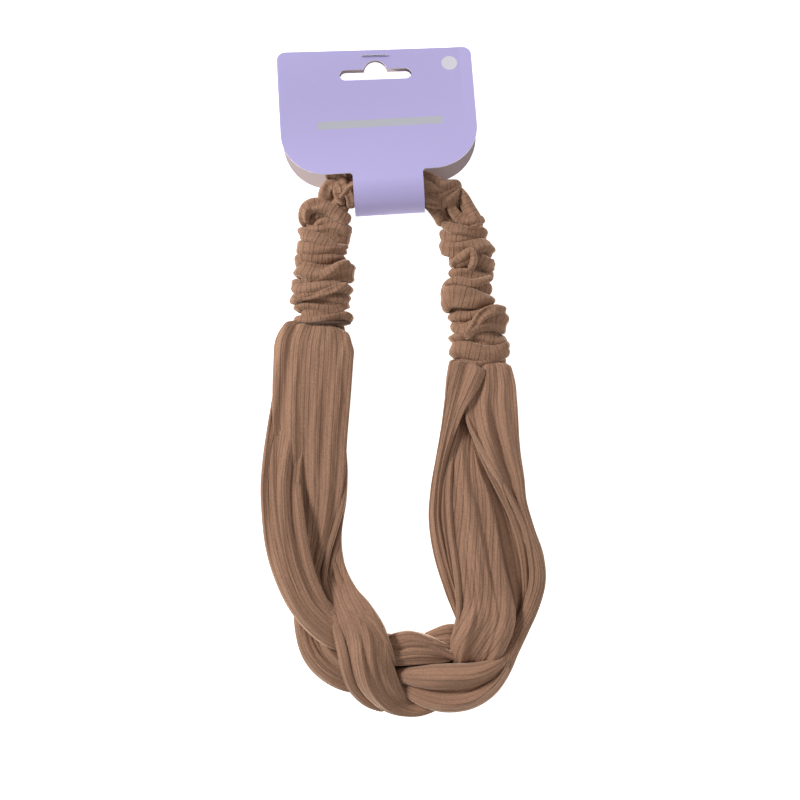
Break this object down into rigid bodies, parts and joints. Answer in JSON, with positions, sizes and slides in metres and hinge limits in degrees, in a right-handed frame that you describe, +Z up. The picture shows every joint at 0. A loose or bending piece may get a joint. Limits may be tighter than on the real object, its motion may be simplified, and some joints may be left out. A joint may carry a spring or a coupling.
{
  "type": "knotted headband",
  "caption": "Soft ribbed headband with a plaited knot at the front, ruched elastic back and a folded hang card stapled round it, lying flat.",
  "frame": {"origin": "middle of the object's outline on the surface it lies on", "axes": "+Y from the knot to the hang card, +X to the right seen from above, +Z up from the surface"},
  "size_m": [0.125, 0.2973, 0.0221],
  "materials": {
    "strand_fabric": "soft rib knit",
    "casing_fabric": "ruched rib knit",
    "thread": "matte thread",
    "elastic": "woven elastic",
    "card": "satin print",
    "steel": "bright wire"
  },
  "bodies": {
    "front_band": {"front_strand": "strand_fabric", "middle_strand": "strand_fabric", "rear_strand": "strand_fabric", "seam_left": "thread", "seam_right": "thread", "casing_left": "casing_fabric", "casing_right": "casing_fabric", "elastic_left": "elastic", "elastic_right": "elastic"},
    "loop_top": {"casing_top": "casing_fabric", "elastic_top": "elastic"},
    "hanger": {"hang_card": "card", "staple": "steel"}
  },
  "joints": [
    {"name": "elastic_stretch", "type": "slide", "parent": "front_band", "child": "loop_top", "axis": [0, 1, 0], "range_m": [0, 0.06], "stiffness_N_per_m": 40, "deforming": ["casing_left", "casing_right", "elastic_left", "elastic_right"]},
    {"name": "card_swing", "type": "hinge", "parent": "loop_top", "child": "hanger", "pos_m": [-0.0065, 0.0835, 0.0111], "axis": [0.9981, 0.0611, 0], "range_deg": [0, 105]}
  ]
}
